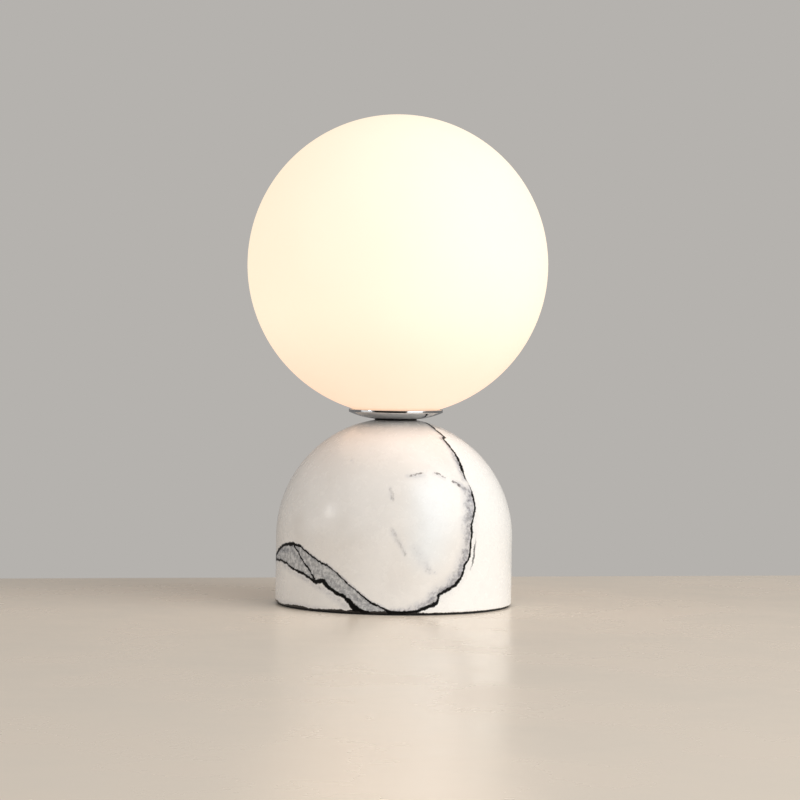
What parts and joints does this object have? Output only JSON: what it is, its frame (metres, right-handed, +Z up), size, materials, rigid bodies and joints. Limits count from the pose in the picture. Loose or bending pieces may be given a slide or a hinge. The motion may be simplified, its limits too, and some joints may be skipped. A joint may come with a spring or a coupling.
{
  "type": "glass globe table lamp",
  "caption": "Table lamp with a domed stone base, a shallow chrome dish and a glowing opal glass globe that turns and lifts off its collar to reach the lamp.",
  "frame": {"origin": "centre of the foot pad's underside, on the table", "axes": "+Z up along the lamp's axis, -Y to the front as pictured, +Y to the cord inlet at the back"},
  "size_m": [0.15, 0.15, 0.2444],
  "materials": {
    "polished_stone": "polished white stone with dark veins",
    "opal_glass": "satin opal glass, lit from inside",
    "chrome_plate": "bright chrome plate",
    "black_rubber": "matt black rubber",
    "clear_silicone": "milky silicone",
    "zinc_steel": "zinc-plated steel",
    "bare_brass": "machined brass",
    "satin_aluminium": "turned aluminium",
    "white_ceramic": "glazed ceramic",
    "red_fibre": "vulcanised fibre",
    "white_nylon": "natural nylon",
    "black_nylon": "moulded black nylon",
    "frosted_cover": "frosted lamp cover",
    "lamp_plastic": "white lamp base",
    "led_phosphor": "phosphor strips",
    "brown_insulation": "brown insulation",
    "blue_insulation": "blue insulation",
    "green_yellow_insulation": "green and yellow insulation"
  },
  "bodies": {
    "lamp": {"foot_pad": "black_rubber", "marble_base": "polished_stone", "cord_bush": "black_nylon", "base_plate": "zinc_steel", "base_plate_screws": "zinc_steel", "stone_anchors": "bare_brass", "threaded_tube": "zinc_steel", "tube_end_bush": "white_nylon", "fibre_washer": "red_fibre", "steel_washer": "zinc_steel", "earth_tag": "bare_brass", "lock_washer": "zinc_steel", "tube_nut": "zinc_steel", "seat_gasket": "black_rubber", "chrome_dish": "chrome_plate", "globe_collar": "satin_aluminium", "holder_bracket": "zinc_steel", "top_lock_washer": "zinc_steel", "top_nut": "bare_brass", "lampholder_body": "white_ceramic", "lampholder_contacts": "bare_brass", "holder_screws": "zinc_steel", "terminal_block": "white_nylon", "terminal_clamps": "bare_brass", "terminal_screws": "zinc_steel", "block_screws": "zinc_steel", "live_lead": "brown_insulation", "neutral_lead": "blue_insulation", "earth_lead": "green_yellow_insulation"},
    "seal": {"globe_seal": "clear_silicone"},
    "globe": {"glass_globe": "opal_glass"},
    "bulb": {"bulb_base": "lamp_plastic", "bulb_pins": "zinc_steel", "bulb_envelope": "frosted_cover", "led_stalk": "white_ceramic", "led_strips": "led_phosphor"}
  },
  "joints": [
    {"name": "globe_lift", "type": "slide", "parent": "lamp", "child": "seal", "axis": [0, 0, 1], "range_m": [0, 0.085]},
    {"name": "globe_turn", "type": "hinge", "parent": "seal", "child": "globe", "pos_m": [0, 0, 0.098], "axis": [0, 0, 1], "continuous": true},
    {"name": "bulb_pull", "type": "slide", "parent": "lamp", "child": "bulb", "axis": [0, 0, 1], "range_m": [0, 0.016]}
  ]
}
